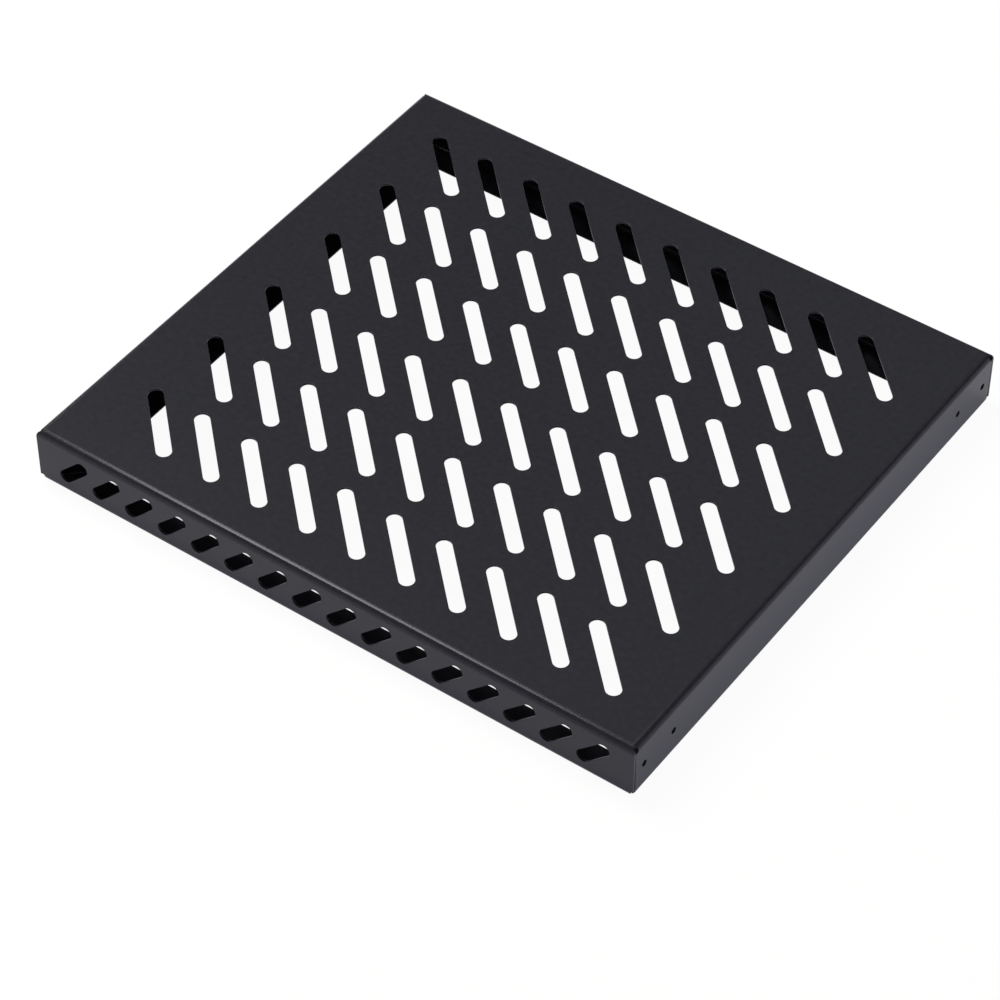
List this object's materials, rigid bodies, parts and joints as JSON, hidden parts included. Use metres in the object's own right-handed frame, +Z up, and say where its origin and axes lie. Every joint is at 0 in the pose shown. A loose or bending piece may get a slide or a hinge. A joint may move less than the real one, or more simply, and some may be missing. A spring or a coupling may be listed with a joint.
{
  "type": "vented rack shelf",
  "caption": "Flat black steel tray with slanted vent slots, walls folded down on all sides and return lips underneath, for standing equipment on in a rack.",
  "frame": {"origin": "under the middle of the shelf, in the plane of the return lips' underside", "axes": "+X to the shelf's right as seen from its front, +Y to its back, +Z up out of the deck"},
  "size_m": [0.44, 0.4, 0.042],
  "materials": {
    "black_powder_coat": "satin fine-textured powder coat"
  },
  "bodies": {
    "root": {"shelf_tray": "black_powder_coat"}
  },
  "joints": []
}
